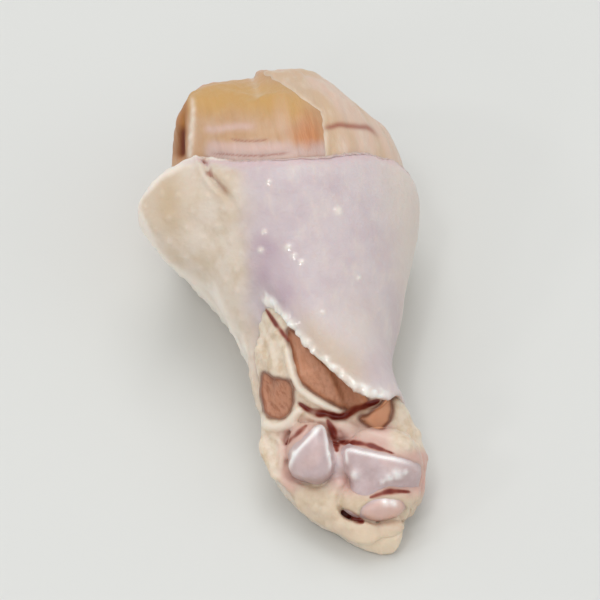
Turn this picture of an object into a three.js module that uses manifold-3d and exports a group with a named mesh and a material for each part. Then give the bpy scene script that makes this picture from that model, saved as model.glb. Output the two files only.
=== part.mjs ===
// Raw chicken wing, first joint (the drumette), lying on its flat side: upper arm bone, meat and skin.
// Millimetres, +Z up. +Y runs from the elbow to the shoulder. The origin is under the middle of the piece.

import * as THREE from "three";
import { mergeVertices } from "three/addons/utils/BufferGeometryUtils.js";
import Module from "manifold-3d";

const wasm = await Module();
wasm.setup();

// Sections of the meat, from the elbow to the shoulder. x and z place the middle of the section, and left,
// right, top and bottom are its reach from there. The floor flattens what would reach below it.
const SECTIONS = [
  { y: -41, x: 5.7, z: 7.5, left: 4.0, right: 3.6, top: 4.5, bottom: 6.5 }, // open end of the skin
  { y: -30, x: 3.0, z: 9.0, left: 9.0, right: 10.3, top: 6.0, bottom: 10.0 }, // knuckles
  { y: -16, x: 1.5, z: 10.0, left: 7.5, right: 8.5, top: 8.5, bottom: 11.0 }, // neck above the elbow
  { y: -3, x: 1.5, z: 11.5, left: 8.6, right: 12.5, top: 12.5, bottom: 13.0 }, // where the muscles taper
  { y: 14, x: 1.0, z: 13.5, left: 15.5, right: 18.5, top: 17.0, bottom: 15.5 }, // belly of the muscles
  { y: 40, x: 0.5, z: 13.5, left: 15.5, right: 16.5, top: 12.5, bottom: 13.5 }, // cut through the shoulder
];
const KEYS = ["x", "z", "left", "right", "top", "bottom"];

const MEAT = { elbow: -39, shoulder: 39, elbowRound: 4, shoulderRound: 6 }; // ends and their squareness
// Under the knuckles the meat and the fat sink to this share of their height.
const BED = { from: -17, to: -27, height: 0.55 };
// The muscle on the left of the shoulder ends in a square corner.
const CORNER = { angle: 138, width: 16, height: 2.6, from: 22, to: 31 };
// Fat that lies bare at both sides of the elbow. It rises past the skin's edge, up to the skin's outer side.
const PADS = [
  { angle: 172, width: 24, height: 1.3 },
  { angle: -2, width: 26, height: 1.1 },
];
const PAD_RISE = { from: 1.5, to: 5 };
const FACE_SLANT = 4; // how much sooner the meat ends at the right side than in the middle
const FACE_STEP = { length: 3, from: 0.5, to: -4.5 }; // how much sooner the muscle on the left ends
const GAP = 0.35; // between neighbouring solids
const LEAST_GAP = 0.12; // what is left of it between skin and meat where their facets come close
const FLOOR = { skin: 0, lining: 1.4, meat: 1.85 }; // heights at which each layer is pressed flat
const FLOOR_BEND = 1.0; // how far from the floor a side bends over into it

// Grooves between the muscles: angle round the section in degrees, depth, width in degrees, where it starts.
const GROOVES = [
  { angle: 98, depth: 2.6, width: 11, from: 22 },
  { angle: 28, depth: 1.8, width: 12, from: 24 },
  { angle: 176, depth: 1.6, width: 13, from: 22 },
];
const GROOVE_RUN = 12; // over which a groove reaches its depth
const FACE_DISH = 3.2; // how far the cut face sinks towards the bone
const FACE_LOBE = 1.6; // how far the muscles swell out of the cut face between the grooves

const SKIN = 1.3; // where it is stretched over the belly
const SKIN_RIM = 0.9; // at its cut edges
const SKIN_RIM_REACH = 5; // over which it thickens
const FAT = { angle: 150, width: 48, depth: 1.5 }; // the fatty left side of the skin
const FOLD = { angle: 160, width: 18, depth: 6.0, y: 10.5, reach: 8 }; // loose web of skin at the left
const PLEATS = { depth: 0.5, length: 9, angle: 168, width: 40 }; // folds that run out from the web

// The skin's cut edges, as a place along the piece for each angle round the section. At the shoulder it is
// cut back on top and at both sides. At the elbow it has a notch on top, and runs on below as a cup.
const SHOULDER_EDGE = [
  { angle: -180, y: 15 },
  { angle: -150, y: 23 },
  { angle: -120, y: 31 },
  { angle: -60, y: 31 },
  { angle: -20, y: 22 },
  { angle: 10, y: 16.5 },
  { angle: 40, y: 13.5 },
  { angle: 70, y: 11 },
  { angle: 95, y: 10.5 },
  { angle: 118, y: 13 },
  { angle: 138, y: 17.5 },
  { angle: 160, y: 16.5 },
  { angle: 180, y: 15 },
];
const ELBOW_EDGE = [
  { angle: -180, y: -16 },
  { angle: -171, y: -22 },
  { angle: -162, y: -29.5 },
  { angle: -145, y: -36 },
  { angle: -120, y: -38.5 },
  { angle: -80, y: -41 },
  { angle: -55, y: -38 },
  { angle: -38, y: -31 },
  { angle: -22, y: -25.5 },
  { angle: -5, y: -22.5 },
  { angle: 15, y: -22 },
  { angle: 45, y: -25 },
  { angle: 75, y: -23.5 },
  { angle: 105, y: -16.5 },
  { angle: 128, y: -7.5 },
  { angle: 148, y: -8.5 },
  { angle: 165, y: -11 },
  { angle: 180, y: -16 },
];

const BONE = { shaft: 3.3, flare: 1.2, from: [2.5, -29, 5.6], to: [2.0, 34, 13.4] };
// Rounded ends of the bone: middle, then half of the size in X, Y and Z, then the turn about Z in degrees.
const KNOBS = [
  { at: [2.5, 35.2, 12.8], half: [7.6, 5.9, 6.0], turn: 12 }, // ball of the shoulder
  { at: [-2.4, -27.8, 9.4], half: [3.9, 5.6, 4.7], turn: 8 }, // inner knuckle
  { at: [7.2, -30.4, 9.4], half: [6.6, 5.0, 4.7], turn: -8 }, // outer knuckle
  { at: [6.2, -35.0, 6.6], half: [6.6, 3.8, 3.4], turn: 6 }, // lip of the joint under them
];

const AROUND = 42;
const MEAT_RINGS = 28;
const SKIN_RINGS = 25;
const KNOB_AROUND = 20;
const KNOB_RINGS = 13;

const smooth = (from, to, value) => THREE.MathUtils.smoothstep(value, from, to);
const bell = (distance, width) => Math.exp(-((distance / width) ** 2));
// Difference between two angles in degrees, from -180 to 180.
const turnTo = (angle, to) => ((((angle - to) % 360) + 540) % 360) - 180;

const sectionCurve = new THREE.CubicInterpolant(
  SECTIONS.map((s) => s.y),
  SECTIONS.flatMap((s) => KEYS.map((key) => s[key])),
  KEYS.length,
);

// The section at a place along the piece, as a plain object.
function sectionAt(y) {
  const inside = THREE.MathUtils.clamp(y, SECTIONS[0].y, SECTIONS.at(-1).y);
  const values = sectionCurve.evaluate(inside);
  return Object.fromEntries(KEYS.map((key, i) => [key, values[i]]));
}

// Where the skin ends at an angle, along one of its cut edges.
function edgeOf(list) {
  const curve = new THREE.CubicInterpolant(
    list.map((e) => e.angle),
    list.map((e) => e.y),
    1,
  );
  return (angle) => curve.evaluate(turnTo(angle, 0))[0];
}
const shoulderEdge = edgeOf(SHOULDER_EDGE);
const elbowEdge = edgeOf(ELBOW_EDGE);

// How far the bare fat at the sides of the elbow stands out.
function padHeight(angle, y) {
  const full = PADS.reduce((sum, pad) => sum + pad.height * bell(turnTo(angle, pad.angle), pad.width), 0);
  return full * smooth(PAD_RISE.from, PAD_RISE.to, elbowEdge(angle) - y);
}

// How deep the grooves between the muscles are at an angle and a place along the piece.
function grooveDepth(angle, y) {
  const across = (groove) => bell(turnTo(angle, groove.angle), groove.width);
  const along = (groove) => smooth(groove.from, groove.from + GROOVE_RUN, y);
  return GROOVES.reduce((sum, groove) => sum + groove.depth * across(groove) * along(groove), 0);
}

// How far the meat has drawn in towards its shoulder end, from 1 in the middle to 0 at the tip.
const drawIn = (y) =>
  (1 - THREE.MathUtils.clamp(y / MEAT.shoulder, 0, 1) ** MEAT.shoulderRound) ** (1 / MEAT.shoulderRound);

// Distance from the section's middle to its side, before the ends are rounded and the grooves are cut.
function sideRadius(angle, y) {
  const s = sectionAt(y);
  const radians = THREE.MathUtils.degToRad(angle);
  const across = Math.cos(radians) / (Math.cos(radians) > 0 ? s.right : s.left);
  const up = Math.sin(radians) / (Math.sin(radians) > 0 ? s.top : s.bottom);
  return 1 / Math.hypot(across, up);
}

// A height pressed flat where it would go below the floor, with a soft bend up from there.
function pressed(height, floor) {
  const over = height - floor;
  if (Math.abs(over) > FLOOR_BEND) return floor + Math.max(0, over);
  return floor + (over + FLOOR_BEND) ** 2 / (4 * FLOOR_BEND);
}

// The point at an angle, a place along the piece and a distance from the section's middle, above a floor.
function around(point, angle, y, radius, floor) {
  const s = sectionAt(y);
  const radians = THREE.MathUtils.degToRad(angle);
  point.set(s.x + radius * Math.cos(radians), y, pressed(s.z + radius * Math.sin(radians), floor));
}

// Moves every vertex of a closed geometry and joins the doubles.
function shaped(geometry, place) {
  geometry.deleteAttribute("normal");
  geometry.deleteAttribute("uv");
  const position = geometry.getAttribute("position");
  const point = new THREE.Vector3();
  for (let i = 0; i < position.count; i++) {
    place(point.fromBufferAttribute(position, i));
    position.setXYZ(i, point.x, point.y, point.z);
  }
  return mergeVertices(geometry, 1e-3);
}

function toSolid(geometry) {
  const solid = new wasm.Manifold(
    new wasm.Mesh({
      numProp: 3,
      vertProperties: new Float32Array(geometry.getAttribute("position").array),
      triVerts: new Uint32Array(geometry.index.array),
    }),
  );
  if (solid.volume() <= 0) throw new Error("a solid is inside out");
  return solid;
}

function toGeometry(solid) {
  const { vertProperties, triVerts, numProp } = solid.getMesh();
  const geometry = new THREE.BufferGeometry();
  const position = new THREE.InterleavedBuffer(vertProperties, numProp);
  geometry.setAttribute("position", new THREE.InterleavedBufferAttribute(position, 3, 0));
  geometry.setIndex(new THREE.BufferAttribute(triVerts, 1));
  return geometry;
}

// What a cut leaves, without loose scraps.
function largestPiece(solid) {
  const pieces = solid.decompose().sort((a, b) => b.volume() - a.volume());
  return pieces[0];
}

// One rounded end of the bone, made larger by grow.
function knob({ at, half, turn }, grow) {
  const ball = new THREE.SphereGeometry(1, KNOB_AROUND, KNOB_RINGS);
  const [x, y, z] = half.map((size) => size + grow);
  ball.scale(x, y, z);
  ball.rotateZ(THREE.MathUtils.degToRad(turn));
  ball.translate(...at);
  return toSolid(shaped(ball, (point) => point));
}

// The shaft: a slender lathe turned about Y and laid between its two ends.
function shaft(grow) {
  const [from, to] = [BONE.from, BONE.to].map((end) => new THREE.Vector3(...end));
  const steps = 10;
  const profile = [new THREE.Vector2(0, 0)];
  for (let i = 0; i <= steps; i++) {
    const share = i / steps;
    profile.push(new THREE.Vector2(BONE.shaft + BONE.flare * (2 * share - 1) ** 4 + grow, share));
  }
  profile.push(new THREE.Vector2(0, 1));
  const middle = new THREE.Vector3();
  return toSolid(
    shaped(new THREE.LatheGeometry(profile, KNOB_AROUND), (point) => {
      middle.lerpVectors(from, to, point.y);
      point.set(middle.x + point.x, middle.y, middle.z + point.z);
    }),
  );
}

const boneSolid = (grow) => KNOBS.map((k) => knob(k, grow)).reduce((sum, k) => sum.add(k), shaft(grow));

// The meat before its bone is cut out, made larger by grow: a sphere drawn out along the bone, with squarer
// ends. The muscles show on its cut face, and at the elbow it is a low bed under the knuckles.
function meatBody(grow) {
  const ball = new THREE.SphereGeometry(1, AROUND, MEAT_RINGS);
  return toSolid(
    shaped(ball, (point) => {
      const angle = THREE.MathUtils.radToDeg(Math.atan2(point.z, point.x));
      const towardsShoulder = point.y > 0;
      const square = towardsShoulder ? MEAT.shoulderRound : MEAT.elbowRound;
      const reach = Math.hypot(point.x, point.z);
      const push = (reach ** square + Math.abs(point.y) ** square) ** (-1 / square);
      const share = reach * push;
      const along = point.y * push;
      let y = along * (towardsShoulder ? MEAT.shoulder : -MEAT.elbow);
      const corner = CORNER.height * bell(turnTo(angle, CORNER.angle), CORNER.width);
      const rise = corner * smooth(CORNER.from, CORNER.to, y) + padHeight(angle, y);
      const side = sideRadius(angle, y) + rise - grooveDepth(angle, y) + grow;
      around(point, angle, y, share * side, FLOOR.meat - grow);
      if (towardsShoulder) {
        const lobe = FACE_LOBE * Math.sin(Math.PI * share) - grooveDepth(angle, MEAT.shoulder) * share * 0.6;
        const slant = (FACE_SLANT * Math.max(0, point.x)) / SECTIONS.at(-1).right;
        const step = FACE_STEP.length * smooth(-FACE_STEP.from, -FACE_STEP.to, -point.x);
        y += (lobe - FACE_DISH * (1 - share)) * smooth(0.8, 1, along);
        y -= (slant + step) * smooth(0.4, 1, along);
      }
      const sink = THREE.MathUtils.lerp(1, BED.height, smooth(-BED.from, -BED.to, -y));
      point.set(point.x, y, FLOOR.meat + (point.z - FLOOR.meat) * sink);
    }),
  );
}

const meatSolid = () => largestPiece(meatBody(0).subtract(boneSolid(GAP)));

// Thickness of the skin with its fat, the loose web and the pleats, thinner at both cut edges.
function skinThickness(angle, y) {
  const fromEdge = Math.min(y - elbowEdge(angle), shoulderEdge(angle) - y);
  const fat = FAT.depth * bell(turnTo(angle, FAT.angle), FAT.width);
  const fold = FOLD.depth * bell(turnTo(angle, FOLD.angle), FOLD.width) * bell(y - FOLD.y, FOLD.reach);
  const wave = Math.cos((2 * Math.PI * y) / PLEATS.length + angle / 20);
  const pleat = PLEATS.depth * bell(turnTo(angle, PLEATS.angle), PLEATS.width) * wave;
  return THREE.MathUtils.lerp(SKIN_RIM, SKIN + fat + pleat, smooth(0, SKIN_RIM_REACH, fromEdge)) + fold;
}

// The skin: a sleeve with an inner and an outer wall, made as a lathe of two walls and bent onto the meat.
function skinSolid() {
  const inner = 1;
  const outer = 2;
  const profile = [];
  for (let i = 0; i <= SKIN_RINGS; i++) profile.push(new THREE.Vector2(outer, i / SKIN_RINGS));
  for (let i = SKIN_RINGS; i >= 0; i--) profile.push(new THREE.Vector2(inner, i / SKIN_RINGS));
  profile.push(profile[0].clone());
  const sleeve = shaped(new THREE.LatheGeometry(profile, AROUND), (point) => {
    const angle = THREE.MathUtils.radToDeg(Math.atan2(point.z, point.x));
    const isOuter = Math.hypot(point.x, point.z) > (inner + outer) / 2;
    const share = point.y;
    const y = THREE.MathUtils.lerp(elbowEdge(angle), shoulderEdge(angle), share);
    const lining = drawIn(y) * sideRadius(angle, y) + GAP;
    if (isOuter) around(point, angle, y, lining + skinThickness(angle, y), FLOOR.skin);
    else around(point, angle, y, lining, FLOOR.lining);
  });
  return largestPiece(toSolid(sleeve).subtract(boneSolid(GAP)).subtract(meatBody(LEAST_GAP)));
}

const finishes = {
  skin: new THREE.MeshStandardMaterial({ color: 0xe3cfc4, roughness: 0.4, metalness: 0 }),
  meat: new THREE.MeshStandardMaterial({ color: 0xc59a72, roughness: 0.4, metalness: 0 }),
  bone: new THREE.MeshStandardMaterial({ color: 0xe2d3da, roughness: 0.3, metalness: 0 }),
};
const solids = { skin: skinSolid(), meat: meatSolid(), bone: boneSolid(0) };

const wing = new THREE.Group();
for (const [name, solid] of Object.entries(solids)) {
  const mesh = new THREE.Mesh(toGeometry(solid), finishes[name]);
  mesh.name = name;
  wing.add(mesh);
}

export default wing;
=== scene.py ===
# Raw chicken drumette, the first joint of a wing, lying on its flat side.
# Sizes in this file are in millimetres and become metres where a mesh or a material is written.
import math
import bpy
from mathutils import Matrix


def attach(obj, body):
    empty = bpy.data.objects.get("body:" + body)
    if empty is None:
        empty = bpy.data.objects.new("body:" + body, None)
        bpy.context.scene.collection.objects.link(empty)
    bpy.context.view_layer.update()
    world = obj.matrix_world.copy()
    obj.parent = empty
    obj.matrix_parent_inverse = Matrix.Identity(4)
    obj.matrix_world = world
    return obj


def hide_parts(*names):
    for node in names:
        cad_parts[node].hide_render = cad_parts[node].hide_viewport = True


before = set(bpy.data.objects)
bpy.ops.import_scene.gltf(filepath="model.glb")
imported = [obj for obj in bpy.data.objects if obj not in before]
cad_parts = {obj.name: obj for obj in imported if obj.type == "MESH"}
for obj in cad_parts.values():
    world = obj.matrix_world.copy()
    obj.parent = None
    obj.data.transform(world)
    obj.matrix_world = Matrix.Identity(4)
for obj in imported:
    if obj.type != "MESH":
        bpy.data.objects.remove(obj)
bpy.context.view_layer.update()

from types import SimpleNamespace

import bmesh
import bpy
import numpy as np
from mathutils import Vector, noise
from mathutils.bvhtree import BVHTree

# Bone: the upper arm bone, with the ball of the shoulder at one end and three lobes of the elbow joint at the
# other. What shows of it is wet cartilage, pale and a little lilac. It runs through the meat.
MM = 0.001
VIEW = {"azimuth": -9.5, "elevation": 48.0, "distance": 555.0, "aim": (0.5, -0.9, 12.0)}
# Outlines drawn as they are seen from VIEW: millimetres to the right of the aim and above it.
INNER_KNUCKLE = [
    (3.0, -17.9), (4.2, -19.0), (4.8, -21.9), (5.1, -24.2), (4.6, -26.0), (2.6, -26.7), (0.2, -26.8),
    (-1.8, -26.1), (-2.2, -24.4), (-1.4, -22.5), (-0.1, -20.8), (1.5, -19.2),
]
OUTER_KNUCKLE = [
    (6.4, -21.4), (8.7, -21.6), (11.6, -22.3), (14.5, -23.0), (17.4, -24.2), (19.1, -26.1), (17.1, -27.2),
    (13.2, -27.2), (11.3, -27.7), (9.6, -28.4), (7.7, -27.7), (6.7, -25.5), (6.2, -23.2),
]
JOINT_LIP = [
    (8.9, -30.9), (10.1, -29.7), (12.6, -29.1), (14.8, -29.4), (15.6, -31.0), (14.5, -32.3), (11.9, -32.9),
    (9.7, -32.3),
]
# The bone round these outlines lies this much deeper than in them.
KNUCKLE_STEP = 0.7
# Wet spots that catch the light, with painted highlights: the place as it is seen, and the radius.
KNUCKLE_GLINTS = [
    (7.9, -25.5, 0.6), (12.1, -26.5, 0.4), (13.0, -26.0, 0.65), (14.1, -25.4, 0.8), (15.3, -25.1, 0.4),
    (12.6, -29.5, 0.6), (13.7, -29.6, 0.6), (2.3, -18.6, 0.5), (-1.2, -22.4, 0.45), (4.5, -22.4, 0.45),
]


def towards(azimuth, elevation):
    """The direction towards a place round the wing. Azimuth 0 is in front, and 90 to the right."""
    a, e = math.radians(azimuth), math.radians(elevation)
    return np.array([math.sin(a) * math.cos(e), -math.cos(a) * math.cos(e), math.sin(e)])


to_eye = towards(VIEW["azimuth"], VIEW["elevation"])
eye = np.array(VIEW["aim"]) + to_eye * VIEW["distance"]
rightwards = np.array([-to_eye[1], to_eye[0], 0]) / math.hypot(*to_eye[:2])
upwards = np.cross(to_eye, rightwards)


def seen(points):
    """Where points lie as seen from VIEW, in millimetres to the right of the aim and above it."""
    away = points - eye
    shrink = VIEW["distance"] / -(away @ to_eye)
    return np.stack([away @ rightwards * shrink, away @ upwards * shrink], 1)


def flowing(points, closed=False, steps=6):
    """A smooth line through the points."""
    points = np.array(points, float)
    before, after = (points[-1:], points[:2]) if closed else (points[:1], points[-1:])
    full = np.concatenate([before, points, after])
    share = np.linspace(0, 1, steps, endpoint=False)[:, None]
    parts = []
    for a, b, c, d in zip(full, full[1:], full[2:], full[3:]):
        bend = 2 * a - 5 * b + 4 * c - d
        twist = 3 * (b - c) + d - a
        parts.append(b + 0.5 * share * (c - a + share * (bend + share * twist)))
    return np.concatenate(parts) if closed else np.concatenate(parts + [points[-1:]])


def from_line(places, line):
    """Distance of each place to a line, how far along it the nearest point is, and 1 on its right or -1."""
    nearest = np.full(len(places), 1e9)
    along = np.zeros(len(places))
    side = np.ones(len(places))
    for i, (a, b) in enumerate(zip(line, line[1:])):
        step = b - a
        away = places - a
        share = np.clip((away @ step) / max(step @ step, 1e-9), 0, 1)
        distance = np.linalg.norm(away - share[:, None] * step, axis=1)
        closer = distance < nearest
        along = np.where(closer, (i + share) / (len(line) - 1), along)
        side = np.where(closer, np.sign(away[:, 0] * step[1] - away[:, 1] * step[0]), side)
        nearest = np.minimum(nearest, distance)
    return nearest, along, side


def inside(places, outline):
    """How far each place is inside a closed outline. It is less than 0 outside."""
    line = flowing(outline, closed=True)
    line = np.concatenate([line, line[:1]])
    u, v = places.T
    crossings = np.zeros(len(places), int)
    for (au, av), (bu, bv) in zip(line, line[1:]):
        spans = (av > v) != (bv > v)
        crossings += spans & (u < au + (v - av) / (bv - av if bv != av else 1e-9) * (bu - au))
    return from_line(places, line)[0] * np.where(crossings % 2, 1, -1)


def ramp(low, high, values):
    """0 at low, 1 at high, and smooth between."""
    share = np.clip((values - low) / (high - low), 0, 1)
    return share * share * (3 - 2 * share)


def within(values, start, full, fade, end):
    """1 from full to fade, 0 before start and after end, and smooth between."""
    return ramp(start, full, values) * ramp(end, fade, values)


def bell(distance, width):
    """1 at no distance, and less and less further away than the width."""
    return np.exp(-((distance / width) ** 2))


def lumps(points, size, seed=0):
    """Soft noise from about -1 to 1, with lumps of that size. The size may differ along X, Y and Z."""
    return np.array([noise.noise(p) for p in (points / size + 7.31 * seed).tolist()])


def read_points(mesh):
    """Where the mesh's vertices are, in millimetres."""
    values = np.empty(len(mesh.vertices) * 3, np.float32)
    mesh.vertices.foreach_get("co", values)
    return values.reshape(-1, 3).astype(float) / MM


def read_normals(mesh):
    """The directions in which the mesh's vertices face."""
    values = np.empty(len(mesh.vertices) * 3, np.float32)
    mesh.vertices.foreach_get("normal", values)
    return values.reshape(-1, 3).astype(float)


def write_points(mesh, points):
    """Moves the mesh's vertices to these places, in millimetres."""
    mesh.vertices.foreach_set("co", (points * MM).astype(np.float32).ravel())
    mesh.update()


def paint(mesh, name, values):
    """Stores one number for each vertex, which the piece's material reads by its name."""
    layer = mesh.attributes.get(name) or mesh.attributes.new(name, "FLOAT", "POINT")
    layer.data.foreach_set("value", np.asarray(values, np.float32))


def new_piece(name, mesh):
    """Puts a mesh into the scene under that name."""
    piece = bpy.data.objects.new(name, mesh)
    bpy.context.scene.collection.objects.link(piece)
    return piece


def finished(piece):
    """Turns the piece and its modifiers into one plain mesh with smooth shading."""
    bpy.context.view_layer.update()
    mesh = bpy.data.meshes.new_from_object(piece.evaluated_get(bpy.context.evaluated_depsgraph_get()))
    piece.modifiers.clear()
    piece.data = mesh
    mesh.name = piece.name
    mesh.polygons.foreach_set("use_smooth", [True] * len(mesh.polygons))


def fine_surface(piece, size, passes):
    """Gives a piece small even faces of that size, joins what overlaps in it, and smooths the facets away."""
    remesh = piece.modifiers.new("even", "REMESH")
    remesh.mode = "VOXEL"
    remesh.voxel_size = size * MM
    smooth = piece.modifiers.new("smooth", "SMOOTH")
    smooth.factor = 0.6
    smooth.iterations = passes
    finished(piece)


def copy_of(node):
    """A copy of a solid's mesh, with its loose triangles joined."""
    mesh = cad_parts[node].data.copy()
    mesh.materials.clear()
    shape = bmesh.new()
    shape.from_mesh(mesh)
    bmesh.ops.remove_doubles(shape, verts=shape.verts, dist=0.02 * MM)
    shape.to_mesh(mesh)
    shape.free()
    return mesh


class Wire:
    """An output of a node, which can be used in sums and products."""

    def __init__(self, graph, socket):
        self.graph = graph
        self.socket = socket

    def maths(self, operation, *values):
        """The result of that operation."""
        return self.graph.node("ShaderNodeMath", {"operation": operation}, *values)

    def __add__(self, other):
        return self.maths("ADD", self, other)

    def __mul__(self, other):
        return self.maths("MULTIPLY", self, other)

    __radd__ = __add__
    __rmul__ = __mul__

    def between(self, low, high):
        """0 at low, 1 at high, and smooth between."""
        return self.graph.node("ShaderNodeMapRange", {"interpolation_type": "SMOOTHSTEP"}, self, low, high)


class Graph:
    """A node tree that is built one node at a time."""

    def __init__(self, tree):
        self.tree = tree

    def node(self, kind, settings=None, *values, output=None, **named):
        """Adds a node and sets it up. Values and wires go to its sockets in order, or by their names."""
        made = self.tree.nodes.new(kind)
        for key, value in (settings or {}).items():
            setattr(made, key, value)
        sockets = [s for s in made.inputs if s.enabled]
        pairs = list(zip(sockets, values))
        for name, value in named.items():
            pairs.append((next(s for s in sockets if s.name == name.replace("_", " ")), value))
        for socket, value in pairs:
            if isinstance(value, Wire):
                self.tree.links.new(value.socket, socket)
            else:
                socket.default_value = value
        return Wire(self, next(s for s in made.outputs if s.enabled and output in (None, s.name)))


class Flesh(Graph):
    """A material of raw meat, skin or cartilage: wet, and lit a little from within."""

    def __init__(self, name, glow, glow_depth, shine):
        self.material = bpy.data.materials.new(name)
        self.material.use_nodes = True
        super().__init__(self.material.node_tree)
        self.shader = self.tree.nodes["Principled BSDF"]
        self.set("Subsurface Weight", glow)
        self.set("Subsurface Radius", (1.0, 0.5, 0.35))
        self.set("Subsurface Scale", glow_depth * MM)
        self.set("Specular IOR Level", shine)
        self.set("Coat Roughness", 0.08)
        self.set("Coat IOR", 2.0)
        self.place = self.node("ShaderNodeTexCoord", output="Object")

    def set(self, name, value):
        """Gives the shader's socket a value, or a wire where it varies over the surface."""
        if isinstance(value, Wire):
            self.tree.links.new(value.socket, self.shader.inputs[name])
        else:
            self.shader.inputs[name].default_value = value

    def painted(self, name):
        """The number that paint stored under that name."""
        return self.node("ShaderNodeAttribute", {"attribute_name": name}, output="Fac")

    def stretched(self, along):
        """The place in the piece, drawn out so many times along its length."""
        return self.node("ShaderNodeVectorMath", {"operation": "MULTIPLY"}, self.place, (1, 1 / along, 1))

    def cloud(self, size, detail=3.0, along=1.0):
        """Cloudy noise from 0 to 1, with clouds of that size, drawn out so many times along the wing."""
        place = self.place if along == 1 else self.stretched(along)
        look = {"Scale": 1 / (size * MM), "Detail": detail, "Roughness": 0.6}
        return self.node("ShaderNodeTexNoise", None, place, **look)

    def blend(self, share, first, second):
        """The first colour where share is 0, and the second where it is 1."""
        return self.node("ShaderNodeMix", {"data_type": "RGBA"}, share, first, second)

    def relief(self, height, depth):
        """A bump of that depth in millimetres."""
        return self.node("ShaderNodeBump", None, Strength=1.0, Distance=depth * MM, Height=height)


def rgb(red, green, blue):
    """A colour as it is seen, from 0 to 255, made into the linear one that a shader needs."""
    return (*(((c / 255 + 0.055) / 1.055) ** 2.4 for c in (red, green, blue)), 1.0)


def spots(places, glints):
    """1 at the middle of each glint, and 0 away from all of them."""
    return np.max([bell(np.hypot(places[:, 0] - u, places[:, 1] - v), r) for u, v, r in glints], axis=0)


CARTILAGE = rgb(192, 168, 167)
CARTILAGE_PINK = rgb(219, 182, 168)
CARTILAGE_WHITE = rgb(216, 197, 197)
HIGHLIGHT_WHITE = rgb(250, 246, 243)
BLOOD_AND_SHADE = rgb(150, 74, 54)
DEEP_BLOOD_AND_SHADE = rgb(110, 27, 17)

bone = new_piece("bone_and_knuckles", copy_of("bone"))
fine_surface(bone, size=0.36, passes=14)
points = read_points(bone.data)
normals = read_normals(bone.data)
places = seen(points)
inner, outer, joint_lip = (inside(places, outline) for outline in (INNER_KNUCKLE, OUTER_KNUCKLE, JOINT_LIP))
shows = np.max([inner, outer, joint_lip], axis=0)
at_elbow = ramp(-18, -21, points[:, 1])
glints = spots(places, KNUCKLE_GLINTS) * at_elbow
height = 0.28 * lumps(points, 4.2, 1) + 0.14 * lumps(points, 1.7, 2) + 0.25 * glints
# A raised line runs along the upper edges of the two knuckles, painted white as a painted highlight.
v = places[:, 1]
rim = np.maximum(bell(inner - 0.5, 0.4) * ramp(-25.5, -24, v), bell(outer - 0.45, 0.35) * ramp(-24.5, -23, v))
height += at_elbow * (KNUCKLE_STEP * ramp(-0.6, 1.2, shows) - KNUCKLE_STEP + 0.15 * rim)
write_points(bone.data, points + normals * height[:, None])
paint(bone.data, "wet", glints)
# Painted highlights: the rims and the glints are painted white.
paint(bone.data, "white", np.clip(at_elbow * rim + 0.8 * glints, 0, 1))
paint(bone.data, "pink", np.clip(ramp(-0.5, 0.5, joint_lip) + 0.6 * lumps(points, 3.5, 3), 0, 1))

cartilage = Flesh("wet cartilage", glow=0.2, glow_depth=1.6, shine=0.5)
colour = cartilage.blend(cartilage.cloud(3.0).between(0.35, 0.75) * 0.6, CARTILAGE, CARTILAGE_WHITE)
colour = cartilage.blend(cartilage.painted("pink"), colour, CARTILAGE_PINK)
# Painted highlights in white on the rims and the glints.
colour = cartilage.blend(cartilage.painted("white"), colour, HIGHLIGHT_WHITE)
cartilage.set("Base Color", colour)
fine = cartilage.cloud(0.9, 4.0)
cartilage.set("Roughness", 0.24 + fine * 0.2)
cartilage.set("Coat Weight", cartilage.painted("wet"))
cartilage.set("Normal", cartilage.relief(fine, 0.12))
bone.data.materials.append(cartilage.material)
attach(bone, "root")
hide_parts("bone")


# Meat: the muscles round the bone. They are bare where the wing was cut from the shoulder: a flat tan muscle
# on the left, golden along its top, with a brown cleft down its side, and one that goes under the pale film.
# The spine is the middle line of the meat: X and Z at places along Y. Angles round it are in degrees.
SPINE = {
    "y": [-41, -30, -16, -3, 14, 40],
    "x": [5.7, 3.0, 1.5, 1.5, 1.0, 0.5],
    "z": [7.5, 9.0, 10.0, 11.5, 13.5, 13.5],
}
# Where the skin ends at the shoulder: the angle round the spine, and the place along it.
SHOULDER_EDGE = [
    (-180, 15), (-150, 23), (-120, 31), (-60, 31), (-20, 22), (10, 16.5), (40, 13.5), (70, 11), (95, 10.5),
    (118, 13), (138, 17.5), (160, 16.5), (180, 15),
]
# Lines on the left muscle, as they are seen: the cleft down its side, the pale ridge beside the cleft, the
# golden band along its top, and the streaks.
SIDE_CLEFT = [(-16.9, 30.6), (-17.1, 28.4), (-17.2, 26.0), (-17.3, 23.8), (-17.5, 21.5)]
SIDE_RIM = [(-15.5, 28.8), (-15.6, 26.4), (-15.7, 23.8), (-15.9, 21.0)]
GOLD_BAND = [(-15.4, 29.6), (-10.3, 29.9), (-5.0, 29.6), (-1.5, 28.4), (0.8, 26.4), (1.3, 23.9), (1.3, 23.2)]
PINK_STREAKS = [
    [(-14.3, 25.2), (-12.1, 24.9), (-9.4, 25.5), (-6.0, 25.3)],
    [(-13.8, 22.6), (-8.1, 22.4), (-1.2, 22.3)],
]
DARK_STREAKS = [
    [(-10.6, 23.7), (-8.0, 23.4), (-4.0, 23.6)],
    [(-14.0, 21.5), (-7.0, 21.2), (-0.6, 21.5)],
]
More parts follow.
